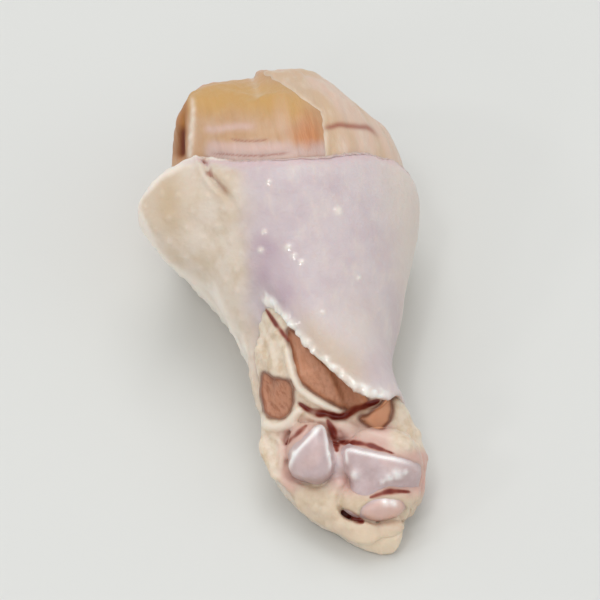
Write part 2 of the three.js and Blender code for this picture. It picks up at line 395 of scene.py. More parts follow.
# The angles at which the muscles meet on the cut face, and the place along Y from which they are built.
SEAM_ANGLES = (98, 28, 176, -125, -50)
MUSCLES_FROM = -6.5
TAN = rgb(193, 152, 115)
TAN_PALE = rgb(201, 164, 130)
GOLD = rgb(200, 156, 94)
ORANGE = rgb(202, 138, 90)
ORANGE_DARK = rgb(186, 122, 76)
PINK = rgb(212, 180, 168)
LILAC_BY_SKIN = rgb(203, 177, 170)
CLEFT_BROWN_SHADE = rgb(160, 102, 38)
CLEFT_DEEP_SHADE = rgb(102, 36, 0)
CUT_MEAT = rgb(206, 150, 126)
WHITE_FASCIA = rgb(232, 219, 203)


def turn(angle, to):
    """The angle measured from another one, from -180 to 180."""
    return (angle - to + 180) % 360 - 180


def edge_curve(keys, values, at):
    """The smooth curve through an edge's places that the solid's edge follows too."""
    keys, values = np.array(keys, float), np.array(values, float)
    i = np.clip(np.searchsorted(keys, at, side="right"), 1, len(keys) - 1)
    t0, t1 = keys[i - 1], keys[i]
    before, after = np.where(i > 1, i - 2, i), np.where(i < len(keys) - 1, i + 1, i - 1)
    after = np.clip(after, 0, len(keys) - 1)
    back = (t1 - t0) / 2 / (t0 - np.where(i > 1, keys[before], t1))
    ahead = (t1 - t0) / 2 / (np.where(i < len(keys) - 1, keys[after], t0) - t1)
    p = (at - t0) / (t1 - t0)
    return (
        (-back * p**3 + 2 * back * p**2 - back * p) * values[before]
        + ((1 + back) * p**3 + (-1.5 - 2 * back) * p**2 + (-0.5 + back) * p + 1) * values[i - 1]
        + ((-1 - ahead) * p**3 + (1.5 + ahead) * p**2 + 0.5 * p) * values[i]
        + (ahead * p**3 - ahead * p**2) * values[after]
    )


def round_the_spine(points):
    """The angle round the spine, 0 on the right and 90 on top, and how far across and up from it."""
    y = np.clip(points[:, 1], -41, 40)
    across = points[:, 0] - edge_curve(SPINE["y"], SPINE["x"], y)
    up = points[:, 2] - edge_curve(SPINE["y"], SPINE["z"], y)
    return np.degrees(np.arctan2(up, across)), across, up


def cut_across(shape, y, direction):
    """Cuts a shape across at a place along the wing, drops the side in that direction, and closes the cut."""
    everything = shape.verts[:] + shape.edges[:] + shape.faces[:]
    plane = {"plane_co": (0, y * MM, 0), "plane_no": (0, direction, 0)}
    bmesh.ops.bisect_plane(shape, geom=everything, clear_outer=True, **plane)
    bmesh.ops.holes_fill(shape, edges=[e for e in shape.edges if e.is_boundary])


def near(places, lines, width):
    """1 on any of the lines, and 0 away from them. The lines fade out at their ends."""
    shares = []
    for line in lines:
        distance, along = from_line(places, flowing(line))[:2]
        shares.append(bell(distance, width) * ramp(0, 0.2, along) * ramp(1, 0.8, along))
    return np.max(shares, axis=0)


meat_mesh = copy_of("meat")
shape = bmesh.new()
shape.from_mesh(meat_mesh)
cut_across(shape, MUSCLES_FROM, -1)
shape.to_mesh(meat_mesh)
shape.free()
meat = new_piece("muscles", meat_mesh)
fine_surface(meat, size=0.36, passes=18)
points = read_points(meat.data)
normals = read_normals(meat.data)
y = points[:, 1]
places = seen(points)
u, v = places.T
angle, across, up = round_the_spine(points)
radius = np.hypot(across, up)
# Where the forms are, as numbers from 0 to 1, and how far each point is from the lines on the left muscle.
on_end = ramp(0.35, 0.8, normals[:, 1]) * ramp(20, 26, y)
facing = ramp(0.0, 0.3, normals @ to_eye) * ramp(8, 12, y)
in_sight = ramp(-0.3, 0.0, normals @ to_eye) * ramp(8, 12, y)
seam_gap = np.min([np.abs(turn(angle, seam)) for seam in SEAM_ANGLES], axis=0) * np.radians(radius)
seam = bell(seam_gap, 0.55) * ramp(4, 7, radius) * np.maximum(on_end, (1 - facing) * ramp(18, 24, y))
side_part = in_sight * ramp(-16.0, -16.7, u + 0.08 * (v - 26))
cleft = from_line(places, flowing(SIDE_CLEFT))[0]
rim = from_line(places, flowing(SIDE_RIM))[0]
band, along_band = from_line(places, flowing(GOLD_BAND))[:2]
# Relief: bundles and fibres along the muscles, grain on the cut face, and the lines.
bundles = lumps(points, np.array([4.0, 22.0, 4.0]), 4)
fibres = lumps(points, np.array([1.1, 9.0, 1.1]), 5)
grain = lumps(points, 1.1, 6)
height = 0.4 * bundles + 0.16 * fibres * (1 - on_end) + on_end * (0.25 * grain + 0.5 * lumps(points, 3.6, 7))
height += facing * (0.12 * bell(rim, 0.5) * (1 + grain) + 0.3 * bell(band, 1.6))
height -= 0.5 * in_sight * bell(cleft, 0.6) + 0.7 * seam
height -= facing * 0.15 * near(places, DARK_STREAKS, 0.3)
# The top of the left muscle dips at its right end.
height -= ramp(33.0, 34.2, v) * bell(u + 4.5, 3.5)
write_points(meat.data, points + normals * height[:, None])
bone_surface = BVHTree.FromObject(bone, bpy.context.evaluated_depsgraph_get())


def reach(points, surface, limit):
    """How far each point is from a surface, up to a limit."""
    found = (surface.find_nearest(Vector(p), limit * MM)[3] for p in (points * MM).tolist())
    return np.array([limit if d is None else d / MM for d in found])


to_bone = reach(points, bone_surface, 4.0)
from_skin = y - edge_curve(*zip(*SHOULDER_EDGE), angle)
lilac_limit = from_skin + 0.9 * fibres + 1.2 * bundles + 1.2 * ramp(-1.5, 0.5, u)
on_band = facing * ramp(4.0, 0.5, band + 0.6 * lumps(points, 2.5, 8))
orange = on_band * ramp(0.5, 0.85, along_band) + 0.7 * side_part * bell(cleft, 1.5)
pink = facing * near(places, PINK_STREAKS, 0.6) + 0.3 * ramp(0.2, 0.7, bundles)
paint(meat.data, "gold", on_band * ramp(0.75, 0.5, along_band))
paint(meat.data, "orange", np.clip(orange, 0, 1))
paint(meat.data, "pink", np.clip(pink, 0, 1))
paint(meat.data, "by_skin", facing * ramp(4.6, 1.8, lilac_limit) * ramp(-14.5, -13, u))
paint(meat.data, "cut", on_end)
# The cleft is painted brown, darkest at its lower end: partly the meat's own colour, partly painted shade.
paint(meat.data, "cleft", in_sight * bell(cleft, 0.8) * (0.7 + 0.3 * ramp(29, 24, v)))
paint(meat.data, "cleft_end_shade", in_sight * bell(cleft, 0.6) * ramp(26, 24.3, v))
# Dark red on the streaks, and, as blood and painted shade, where the meat meets the bone and the skin's edge.
dark = facing * 0.4 * near(places, DARK_STREAKS, 0.25) + ramp(1.0, 0.3, to_bone) + 0.3 * bell(from_skin, 0.6)
paint(meat.data, "dark", np.clip(dark, 0, 1))
# White fascia at the seams and round the bone, and the pale ridge beside the cleft, partly a painted
# highlight.
fascia_and_highlight = np.maximum(facing * bell(rim, 0.4) * (0.75 + 0.5 * grain), 0.9 * seam)
paint(meat.data, "fascia_and_highlight", np.clip(np.maximum(fascia_and_highlight, ramp(2.6, 1.8, to_bone + 0.5 * grain)), 0, 1))

muscle = Flesh("raw muscle", glow=0.25, glow_depth=2.0, shine=0.4)
strand = muscle.cloud(0.8, 4.0, along=9)
speck = muscle.cloud(0.7, 3.0)
cut_colour = muscle.blend(speck.between(0.4, 0.7), CUT_MEAT, TAN)
orange_colour = muscle.blend(strand.between(0.35, 0.7), ORANGE_DARK, ORANGE)
colour = muscle.blend(muscle.cloud(5.0).between(0.35, 0.7), TAN, TAN_PALE)
colour = muscle.blend(muscle.painted("cut"), colour, cut_colour)
colour = muscle.blend(muscle.painted("gold"), colour, GOLD)
colour = muscle.blend(muscle.painted("orange"), colour, orange_colour)
colour = muscle.blend(strand.between(0.5, 0.8) * 0.25, colour, TAN_PALE)
colour = muscle.blend(muscle.painted("by_skin") * 0.85, colour, LILAC_BY_SKIN)
colour = muscle.blend(muscle.painted("pink") * 0.8, colour, PINK)
# White of the fascia, and a painted highlight on the ridge.
colour = muscle.blend(muscle.painted("fascia_and_highlight") * 0.9, colour, WHITE_FASCIA)
# The cleft's brown, partly painted shade.
colour = muscle.blend(muscle.painted("cleft"), colour, CLEFT_BROWN_SHADE)
colour = muscle.blend(muscle.painted("cleft_end_shade"), colour, CLEFT_DEEP_SHADE)
# Dark red of the streaks, blood and painted shade.
colour = muscle.blend(muscle.painted("dark").between(0.05, 0.7), colour, BLOOD_AND_SHADE)
colour = muscle.blend(muscle.painted("dark").between(0.6, 1.0), colour, DEEP_BLOOD_AND_SHADE)
muscle.set("Base Color", colour)
muscle.set("Roughness", 0.28 + strand * 0.25 + muscle.painted("cleft") * 0.4)
muscle.set("Normal", muscle.relief(strand, 0.15))
meat.data.materials.append(muscle.material)


# Film: the pale sheet of connective tissue over the muscle on the right of the shoulder. It is torn off along
# its left edge, where the tan muscle shows, and stops short of the cut face.
# Its left edge is an angle round the spine at places along Y, and its right edge one angle all along.
FILM_TOP = {"y": [12, 16.7, 20, 22.6, 26, 33, 38], "angle": [74, 72, 70, 78, 84, 92, 96]}
FILM_BOTTOM = -62
FILM_END = 36.0
# The sheet is this far under the muscle's surface where it ends, so that it comes out of it without a gap.
FILM_UNDER = 0.8
FILM_CREASE = [(2.9, 24.9), (4.6, 25.2), (6.0, 25.5), (8.0, 25.2), (9.9, 24.9), (11.6, 23.3)]
FILM = rgb(205, 175, 145)
FILM_PINK = rgb(213, 185, 165)

film = new_piece("shoulder_film", meat.data.copy())
film.data.materials.clear()
points = read_points(film.data)
normals = read_normals(film.data)
y = points[:, 1]
places = seen(points)
angle, across, up = round_the_spine(points)
# How far each point is inside the film's torn outline.
top = np.interp(y, FILM_TOP["y"], FILM_TOP["angle"])
covered = np.minimum(top - angle, angle - FILM_BOTTOM) * np.radians(np.hypot(across, up))
covered = np.minimum(covered, FILM_END - y + 1.2 * lumps(points, 5.0, 9)) + 0.5 * lumps(points, 2.2, 10)
crease = ramp(0.0, 0.3, normals @ to_eye) * near(places, [FILM_CREASE], 0.4)
wrinkles = lumps(points, np.array([1.6, 8.0, 1.6]), 11)
thickness = -FILM_UNDER + 1.0 * ramp(-0.8, 1.2, covered)
thickness += (0.2 * wrinkles - 0.1 * crease) * ramp(0, 1, covered)
thickness = np.minimum(thickness, -FILM_UNDER + 1.5 * ramp(4, 9, y))
write_points(film.data, points + normals * thickness[:, None])
pink = lumps(points, np.array([3.0, 9.0, 3.0]), 12) + 0.5 * ramp(7, 10, points[:, 0])
paint(film.data, "pink", ramp(-0.1, 0.6, pink))
paint(film.data, "rim", bell(covered - 0.3, 0.5))
# The crease is painted dark red, partly as blood and partly as painted shade.
paint(film.data, "dark", 0.8 * crease)

sheet = Flesh("connective film", glow=0.35, glow_depth=2.0, shine=0.45)
strand = sheet.cloud(1.3, 4.0, along=4)
colour = sheet.blend(sheet.painted("pink"), FILM, FILM_PINK)
colour = sheet.blend(strand.between(0.45, 0.75) * 0.25, colour, WHITE_FASCIA)
colour = sheet.blend(sheet.painted("rim") * 0.5, colour, WHITE_FASCIA)
colour = sheet.blend(sheet.painted("dark"), colour, BLOOD_AND_SHADE)
sheet.set("Base Color", colour)
sheet.set("Roughness", 0.25 + strand * 0.25)
sheet.set("Normal", sheet.relief(strand, 0.12))
film.data.materials.append(sheet.material)

for piece in (meat, film):
    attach(piece, "root")
    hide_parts("meat")


# Elbow tissue: cream fat in small lobes and tough white tissue, over the neck of the meat and the knuckles.
# The muscle shows in three pockets with white strands between, and the creases hold blood and painted shade.
# Where the skin ends at the elbow: the angle round the spine, and the place along Y.
ELBOW_EDGE = [
    (-180, -16), (-171, -22), (-162, -29.5), (-145, -36), (-120, -38.5), (-80, -41), (-55, -38), (-38, -31),
    (-22, -25.5), (-5, -22.5), (15, -22), (45, -25), (75, -23.5), (105, -16.5), (128, -7.5), (148, -8.5),
    (165, -11), (180, -16),
]
# The outlines of the pockets, as they are seen.
POCKETS = [
    [
        (-5.3, -10.6), (-3.6, -11.4), (-1.7, -11.7), (-1.0, -13.1), (-1.0, -15.1), (-1.7, -16.7),
        (-3.3, -17.4), (-5.0, -16.7), (-5.7, -14.8), (-5.7, -12.5),
    ],
    [
        (-1.7, -4.2), (2.0, -6.2), (4.4, -8.4), (6.8, -10.8), (9.2, -13.2), (10.2, -14.9), (8.8, -15.6),
        (6.7, -16.1), (4.1, -14.8), (1.5, -13.3), (-0.1, -11.8), (-0.9, -9.9), (-1.4, -7.6),
    ],
    [
        (8.7, -17.2), (10.0, -16.5), (11.6, -15.4), (13.2, -13.8), (13.4, -16.0), (12.9, -18.0),
        (11.6, -19.0), (9.7, -18.3),
    ],
]
# Strands: the line as it is seen, half of the width, the height, how white it is.
STRANDS = [
    ([(-6.4, -8.4), (-6.7, -11.5), (-6.7, -14.1), (-6.2, -16.7), (-4.6, -18.4), (-2.7, -18.5), (-1.4, -17.7),
      (-0.1, -16.1), (1.2, -15.7)], 0.75, 0.8, 1.0),
    ([(-1.8, -6.0), (-1.3, -9.2), (-0.2, -12.5), (1.5, -14.1), (4.1, -15.7), (6.4, -16.6)], 0.6, 0.8, 1.0),
    ([(4.8, -17.8), (8.0, -19.2), (11.3, -19.7), (13.9, -20.4), (16.5, -22.0)], 0.9, 0.6, 0.3),
    ([(-5.7, -18.9), (-4.7, -21.0), (-4.1, -23.7), (-3.1, -26.3)], 0.5, 0.5, 0.5),
    ([(-4.5, -19.6), (-2.9, -20.7), (-2.6, -22.8), (-2.9, -24.8)], 0.4, 0.4, 0.5),
    ([(-6.5, -1.5), (-5.2, -4.5), (-4.0, -7.0), (-3.6, -10.4)], 0.4, 0.3, 0.4),
]
# Creases: the line as it is seen, half of the width, the depth, how much blood and painted shade are in it.
CREASES = [
    ([(-1.0, -14.4), (0.2, -15.3), (1.9, -16.4), (4.1, -16.7), (6.1, -17.1), (7.7, -16.2), (9.7, -15.4),
      (11.3, -14.8), (12.3, -13.8)], 0.5, 1.1, 1.0),
    ([(4.9, -20.0), (6.3, -20.8), (8.7, -20.9), (11.3, -21.6), (14.8, -22.8)], 0.35, 0.2, 1.0),
    ([(3.6, -16.9), (4.8, -19.2), (5.2, -20.9), (5.5, -22.5)], 0.5, 0.1, 1.0),
    ([(1.3, -18.1), (-0.5, -19.5), (-2.4, -21.5)], 0.35, 0.0, 0.8),
    ([(9.8, -29.0), (11.6, -28.4), (13.2, -27.9), (16.9, -28.1)], 0.4, 0.1, 0.9),
    ([(5.7, -30.7), (7.0, -31.4), (8.2, -32.0), (9.7, -32.6)], 0.55, 0.45, 1.0),
    ([(-5.6, -0.4), (-3.9, -3.0), (-2.4, -5.0), (-1.3, -6.4)], 0.35, 0.3, 0.8),
]
# White tissue between the knuckles: the place as it is seen, half of the width and of the height.
BRIDGE = (5.4, -24.0, 1.3, 2.2)
# Where the tissue starts on the neck and where it ends at the tip, along Y, its lowest height, and how thick
# it lies on the muscle before it gets its relief.
NECK_FROM = -2.0
TISSUE_END = -40.6
TISSUE_BOTTOM = 0.4
TISSUE_THICKNESS = 0.55
FAT = rgb(227, 210, 189)
FAT_DEEP = rgb(209, 186, 158)
FAT_PAINTED_LIGHT = rgb(238, 215, 188)
TISSUE_PINK = rgb(211, 173, 160)
POCKET_MEAT = rgb(190, 134, 104)
POCKET_DARK = rgb(166, 108, 78)
POCKET_PAINTED_LIGHT = rgb(224, 162, 122)
POCKET_RIM_SHADE = rgb(116, 60, 38)


def patch(places, at_u, at_v, wide, tall):
    """1 at that place as it is seen, and less and less beyond half of the patch's width and height."""
    u, v = places.T
    return bell(np.hypot((u - at_u) / wide, (v - at_v) / tall), 1)


def elbow_marks(points, normals):
    """What lies at each point of the elbow, such as a knuckle or a pocket, and how far the skin's edge is."""
    places = seen(points)
    marks = SimpleNamespace(places=places, facing=ramp(-0.1, 0.25, normals @ to_eye))
    marks.wobble = 0.3 * lumps(points, 1.4, 13)
    marks.knuckle = np.max([inside(places, o) for o in (INNER_KNUCKLE, OUTER_KNUCKLE, JOINT_LIP)], axis=0)
    marks.pocket_depth = np.max([inside(places, outline) for outline in POCKETS], axis=0)
    marks.strand, marks.rise, marks.white, marks.dip, marks.blood = np.zeros((5, len(points)))
    for line, half, tall, whiteness in STRANDS:
        distance, along = from_line(places, flowing(line))[:2]
        taper = ramp(0, 0.12, along) * ramp(1, 0.88, along)
        width = half * (0.7 + 0.3 * taper) * (1 + marks.wobble)
        ridge = marks.facing * taper * np.sqrt(np.clip(1 - (distance / width) ** 2, 0, 1))
        marks.strand = np.maximum(marks.strand, ridge)
        marks.rise = np.maximum(marks.rise, tall * ridge)
        marks.white = np.maximum(marks.white, whiteness * ridge)
    for line, half, depth, stain_and_shade in CREASES:
        distance, along = from_line(places, flowing(line))[:2]
        taper = ramp(0, 0.3, along) * ramp(1, 0.7, along)
        width = half * (0.3 + 0.8 * taper)
        taper = marks.facing * ramp(0, 0.4, taper)
        marks.dip = np.maximum(marks.dip, depth * taper * bell(distance + 0.5 * marks.wobble, width))
        # Creases are painted dark red, partly as blood and partly as painted shade.
        stain_and_shade = stain_and_shade * (0.85 + 0.5 * lumps(points, 1.3, 17))
        darkened = bell(distance + 0.4 * marks.wobble, 1.1 * width)
        marks.blood = np.maximum(marks.blood, stain_and_shade * taper * darkened)
    marks.pocket = marks.facing * ramp(-0.1, 0.4, marks.pocket_depth + 0.6 * marks.wobble)
    marks.pocket *= 1 - ramp(0.3, 0.8, marks.strand)
    angle = round_the_spine(points)[0]
    around = np.where(angle < -90, angle + 360, angle)
    y = points[:, 1]
    marks.bare = edge_curve(*zip(*ELBOW_EDGE), angle) - y
    # Pads of fat along the skin's edge, at both sides of the elbow.
    marks.left = within(around, 143, 156, 190, 202) * within(y, -35, -30, -12, -8)
    marks.right = within(angle, -52, -38, 18, 30) * ramp(-19.5, -22, y)
    return marks


def grown(piece, name, sizes, material, build):
    """Runs a node tree over the piece. Its sizes, in millimetres, reach build as wires after the mesh."""
    tree = bpy.data.node_groups.new(name, "GeometryNodeTree")
    tree.interface.new_socket("Geometry", in_out="INPUT", socket_type="NodeSocketGeometry")
    identifiers = {}
    for size in sizes:
        socket = tree.interface.new_socket(size, in_out="INPUT", socket_type="NodeSocketFloat")
        identifiers[size] = socket.identifier
    tree.interface.new_socket("Geometry", in_out="OUTPUT", socket_type="NodeSocketGeometry")
    graph = Graph(tree)
    inputs = tree.nodes.new("NodeGroupInput")
    built = build(graph, *(Wire(graph, s) for s in inputs.outputs[:len(sizes) + 1]))
    real = graph.node("GeometryNodeRealizeInstances", None, built)
    dressed = graph.node("GeometryNodeSetMaterial", None, real, Material=material)
    tree.links.new(dressed.socket, tree.nodes.new("NodeGroupOutput").inputs[0])
    modifier = piece.modifiers.new(name, "NODES")
    modifier.node_group = tree
    for size, value in sizes.items():
        modifier[identifiers[size]] = value * MM
    finished(piece)


def with_lobules(graph, fat, spacing, smallest, largest):
    """Adds small flat lobes of fat where the mesh is painted with lobule."""
    share = graph.node("GeometryNodeInputNamedAttribute", {"data_type": "FLOAT"}, "lobule")
    places = graph.node(
        "GeometryNodeDistributePointsOnFaces", {"distribute_method": "POISSON"}, fat,
        Distance_Min=spacing, Density_Max=2000000.0, Density_Factor=share, Seed=5, output="Points",
    )
    lobe = graph.node("GeometryNodeMeshIcoSphere", None, Radius=1.0, Subdivisions=2)
    size = graph.node("FunctionNodeRandomValue", {"data_type": "FLOAT"}, Min=smallest, Max=largest, Seed=6)
    flat_size = graph.node("ShaderNodeVectorMath", {"operation": "MULTIPLY"}, size, (1, 1, 0.4))
    upright = Wire(graph, places.socket.node.outputs["Rotation"])
    lobes = graph.node(
        "GeometryNodeInstanceOnPoints", None, places, Instance=lobe, Rotation=upright, Scale=flat_size,
    )
    both = graph.node("GeometryNodeJoinGeometry", None, fat)
    graph.tree.links.new(lobes.socket, both.socket.node.inputs[0])
    return both


muscle_copy = copy_of("meat")
write_points(muscle_copy, read_points(muscle_copy) + TISSUE_THICKNESS * read_normals(muscle_copy))
shape = bmesh.new()
shape.from_mesh(bone.data)
shape.from_mesh(muscle_copy)
cut_across(shape, NECK_FROM, 1)
tissue_mesh = bpy.data.meshes.new("elbow_tissue")
shape.to_mesh(tissue_mesh)
shape.free()
tissue = new_piece("elbow_tissue", tissue_mesh)
fine_surface(tissue, size=0.24, passes=24)

points = read_points(tissue.data)
normals = read_normals(tissue.data)
marks = elbow_marks(points, normals)
beyond_pad = ramp(1.5, 5, marks.bare)
height = 0.3 + 0.25 * lumps(points, 3.4, 14) + 0.1 * lumps(points, 1.3, 15)
height += marks.left * (0.9 - 1.1 * beyond_pad) + marks.right * 0.9 * (1 - beyond_pad)
# The fat bulges at the tip, low in front.
height += 1.0 * ramp(-28, -32, points[:, 1]) * ramp(0.05, -0.45, normals[:, 1]) * ramp(6, 4, points[:, 2])
height += marks.rise - 0.95 * marks.pocket - marks.dip
height -= 1.5 * marks.facing * ramp(-0.35, 0.55, marks.knuckle + 0.4 * marks.wobble)
# It thins out under the skin and where it starts on the neck.
height -= 0.9 * ramp(-0.5, -2.5, marks.bare)
height = np.where(points[:, 1] > NECK_FROM - 0.5, np.minimum(height, -0.3), height)
points += normals * height[:, None]
points[:, 1] = np.maximum(points[:, 1], TISSUE_END)
points[:, 2] = np.maximum(points[:, 2], TISSUE_BOTTOM)
write_points(tissue.data, points)
# Lobes of fat grow except on knuckles, strands and creases, in pockets, under the skin and near the floor.
lobule = ramp(0.7, 1.6, -marks.knuckle) * ramp(0.3, 0.9, -marks.pocket_depth) * ramp(0.4, 0.1, marks.strand)
lobule *= ramp(0.8, 2.0, marks.bare) * ramp(1.5, 3.0, points[:, 2]) * ramp(0.3, 0.1, marks.blood)
paint(tissue.data, "lobule", lobule)

fatty = Flesh("fat and white tissue", glow=0.3, glow_depth=2.0, shine=0.45)
grown(tissue, "lobules", {"Spacing": 1.5, "Smallest": 0.45, "Largest": 0.85}, fatty.material, with_lobules)
fine_surface(tissue, size=0.22, passes=5)
points = read_points(tissue.data)
marks = elbow_marks(points, read_normals(tissue.data))
u, v = marks.places.T
# The tissue is pink round the knuckles, but not far left, below the inner one or at the upper right.
pink = ramp(-16.5, -19, v) * ramp(-30.0, -27.0, v) + 0.3 * lumps(points, 3.0, 16)
pink -= bell(u - 2.0, 3.0) * ramp(-25.6, -27.2, v) + ramp(-2, -4, u)
pink -= ramp(12.0, 14.5, u) * ramp(-23.0, -21.0, v)
paint(tissue.data, "pocket", marks.pocket)
# Painted shade: a dark rim round each pocket, where the tissue steps down into it.
pocket_rim_shade = marks.facing * bell(marks.pocket_depth + marks.wobble, 0.35)
paint(tissue.data, "pocket_rim_shade", pocket_rim_shade * (1 - marks.strand))
# Painted light: the pockets are painted lighter to the right, where they lie in shade.
paint(tissue.data, "light", marks.pocket * (0.3 * ramp(-3, 0, u) + 0.7 * ramp(7.5, 10, u)))
paint(tissue.data, "strand", marks.white)
paint(tissue.data, "blood", np.clip(marks.blood, 0, 1))
paint(tissue.data, "pink", np.clip(pink, 0, 1))
paint(tissue.data, "bridge", marks.facing * patch(marks.places, *BRIDGE))
paint(tissue.data, "cup", 0.5 * ramp(-25.5, -28.5, v))
# Painted light: the tip gets little light and is painted lighter.
paint(tissue.data, "tip", ramp(-32.8, -34.6, v) * ramp(5, 9, u))

fine = fatty.cloud(0.8, 4.0)
fibre = fatty.cloud(0.5, 4.0, along=6)
colour = fatty.blend(fatty.cloud(2.2).between(0.4, 0.7), FAT, FAT_DEEP)
colour = fatty.blend(fatty.painted("cup"), colour, FAT_DEEP)
# Painted light at the tip.
colour = fatty.blend(fatty.painted("tip") * 0.8, colour, FAT_PAINTED_LIGHT)
colour = fatty.blend(fatty.painted("pink"), colour, TISSUE_PINK)
colour = fatty.blend(fatty.painted("bridge"), colour, CARTILAGE_WHITE)
colour = fatty.blend(fatty.painted("strand") * 0.85, colour, WHITE_FASCIA)
pocket_floor = fatty.blend(fibre.between(0.4, 0.7), POCKET_MEAT, POCKET_DARK)
# Painted light in the pockets.
pocket_floor = fatty.blend(fatty.painted("light"), pocket_floor, POCKET_PAINTED_LIGHT)
colour = fatty.blend(fatty.painted("pocket").between(0.25, 0.7), colour, pocket_floor)
# Painted shade at the pockets' rims.
colour = fatty.blend(fatty.painted("pocket_rim_shade") * 0.85, colour, POCKET_RIM_SHADE)
# Dark red in the creases: partly blood, partly painted shade.
colour = fatty.blend(fatty.painted("blood").between(0.08, 0.7), colour, BLOOD_AND_SHADE)
colour = fatty.blend(fatty.painted("blood").between(0.4, 0.95), colour, DEEP_BLOOD_AND_SHADE)
fatty.set("Base Color", colour)
fatty.set("Roughness", 0.22 + fine * 0.25)
fatty.set("Normal", fatty.relief(fine, 0.12))
tissue.data.materials.clear()
tissue.data.materials.append(fatty.material)
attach(tissue, "root")
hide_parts("meat")


# Skin: a sleeve of skin and fat round the meat, with a loose web on the left. It is thin and tight over the
# belly, where the dark meat makes it look lilac, and cream over fat. Its cut edge at the elbow is white.
# The middle of the web, as an angle round the spine and a place along Y, and the fold at its inner edge.
WEB_ANGLE = 160
WEB_Y = 9
WEB_RIM = [(-15.4, 21.8), (-14.6, 20.6), (-13.8, 18.5), (-12.7, 16.9), (-11.2, 15.2), (-9.0, 11.9)]
# Wet spots that catch the light, with painted highlights: the place as it is seen, and the radius.
SPARKLES = [
    (-5.3, 10.0, 0.4), (-5.7, 7.3, 0.45), (-1.8, 7.7, 0.5), (-0.9, 6.4, 0.4), (0.2, 5.5, 0.4),
    (5.5, 13.0, 0.6), (-4.6, 17.2, 0.35), (8.6, 3.2, 0.3), (3.4, -1.8, 0.3), (-4.6, -0.4, 0.45),
    (-3.3, -1.5, 0.55), (-2.2, -2.5, 0.75), (-1.3, -3.6, 0.8), (-0.3, -4.9, 0.5), (0.9, -6.2, 0.55),
    (1.9, -7.2, 0.45), (9.6, -14.0, 0.6),
]
# Left of this line the skin is cream.
CREAM_LINE = {
    "y": [-40, -8, -5, -2.8, 0, 3.2, 5.7, 9, 16, 40],
    "x": [-5.5, -7.0, -8.0, -7.6, -7.0, -6.5, -5.8, -6.6, -9.9, -13],
}
# Shades: lilac along a line, beige in a patch of the belly, and tan in two patches of the web. A patch is the
# place as it is seen, and half of the width and of the height. The last number is how strong the tan is.
DEEP_LILAC_LINE = [(-5.2, 7.5), (-4.3, 4.5), (-3.5, 1.8), (-2.4, -0.3)]
PALE_BELLY = (8.0, -4.5, 4.5, 6.0)
# The second patch of the web is painted shade beside the fold at its inner edge; the first is darker tan.
WEB_SHADES = [(-19.4, 14.5, 2.8, 5.0, 0.95), (-11.0, 15.8, 1.3, 2.4, 0.6)]
# How much thicker the skin is at the very tip of the elbow.
LIP_RISE = 2.4
LILAC = rgb(209, 196, 196)
LILAC_DEEP = rgb(198, 181, 184)
LILAC_DARK = rgb(184, 161, 170)
BEIGE = rgb(223, 209, 197)
CREAM = rgb(220, 205, 189)
CREAM_DEEP = rgb(208, 189, 166)
CREAM_TAN = rgb(199, 175, 145)
SKIN_WHITE = rgb(238, 228, 216)
SKIN_PINK = rgb(214, 184, 186)

skin = new_piece("loose_skin", copy_of("skin"))
fine_surface(skin, size=0.38, passes=16)
points = read_points(skin.data)
normals = read_normals(skin.data)
x, y, z = points.T
angle, across, up = round_the_spine(points)
around = np.where(angle < -90, angle + 360, angle)
# The outer face, and how far each point is from the cut edges.
outer = ramp(-0.1, 0.4, (normals[:, 0] * across + normals[:, 2] * up) / np.hypot(across, up))
from_elbow = y - edge_curve(*zip(*ELBOW_EDGE), angle)
from_shoulder = edge_curve(*zip(*SHOULDER_EDGE), angle) - y
from_cut = np.minimum(from_elbow, from_shoulder)
places = seen(points)
u, v = places.T
to_view = normals @ to_eye
facing = ramp(-0.1, 0.3, to_view)
# The fold at the web's inner edge: over is 1 along it and 0 at its ends, and step is the distance across it.
away, along, side = from_line(places, flowing(WEB_RIM))
over = facing * ramp(0, 0.15, along) * ramp(1, 0.6, along)
step = -away * side
# Cream fat on the left and low down, the loose web, and its outline as it is seen.
cream = ramp(2.0, -2.0, x - np.interp(y, CREAM_LINE["y"], CREAM_LINE["x"]) + 1.2 * lumps(points, 5.0, 21))
cream = np.maximum(cream, ramp(4.0, -4.0, z - 7 + 2.0 * lumps(points, 6.0, 22)))
web = bell(turn(angle, WEB_ANGLE), 34) * bell(y - WEB_Y, 13)
# The outline as it is seen is raised as a rolled edge and painted white, partly as a painted highlight.
web_outline = within(to_view, -0.3, -0.05, 0.25, 0.6)
web_outline *= within(around, 115, 125, 210, 220) * within(y, -12, -8, 18, 22)
# The edge at the elbow: crisp over the top, white from its start on, and flush with the fat further left.
crisp = within(around, 35, 50, 132, 140)
edge_start = ramp(134, 126, around)
flush = within(around, 145, 155, 195, 205)
bumps = lumps(points, 1.0, 23)
# The edge at the shoulder is thin over the top.
top_edge = within(around, 0, 20, 140, 160)
glints = facing * spots(places, SPARKLES)
deep = facing * bell(from_line(places, flowing(DEEP_LILAC_LINE))[0], 3.0)
shades = [strong * patch(places, *oval) for *oval, strong in WEB_SHADES]
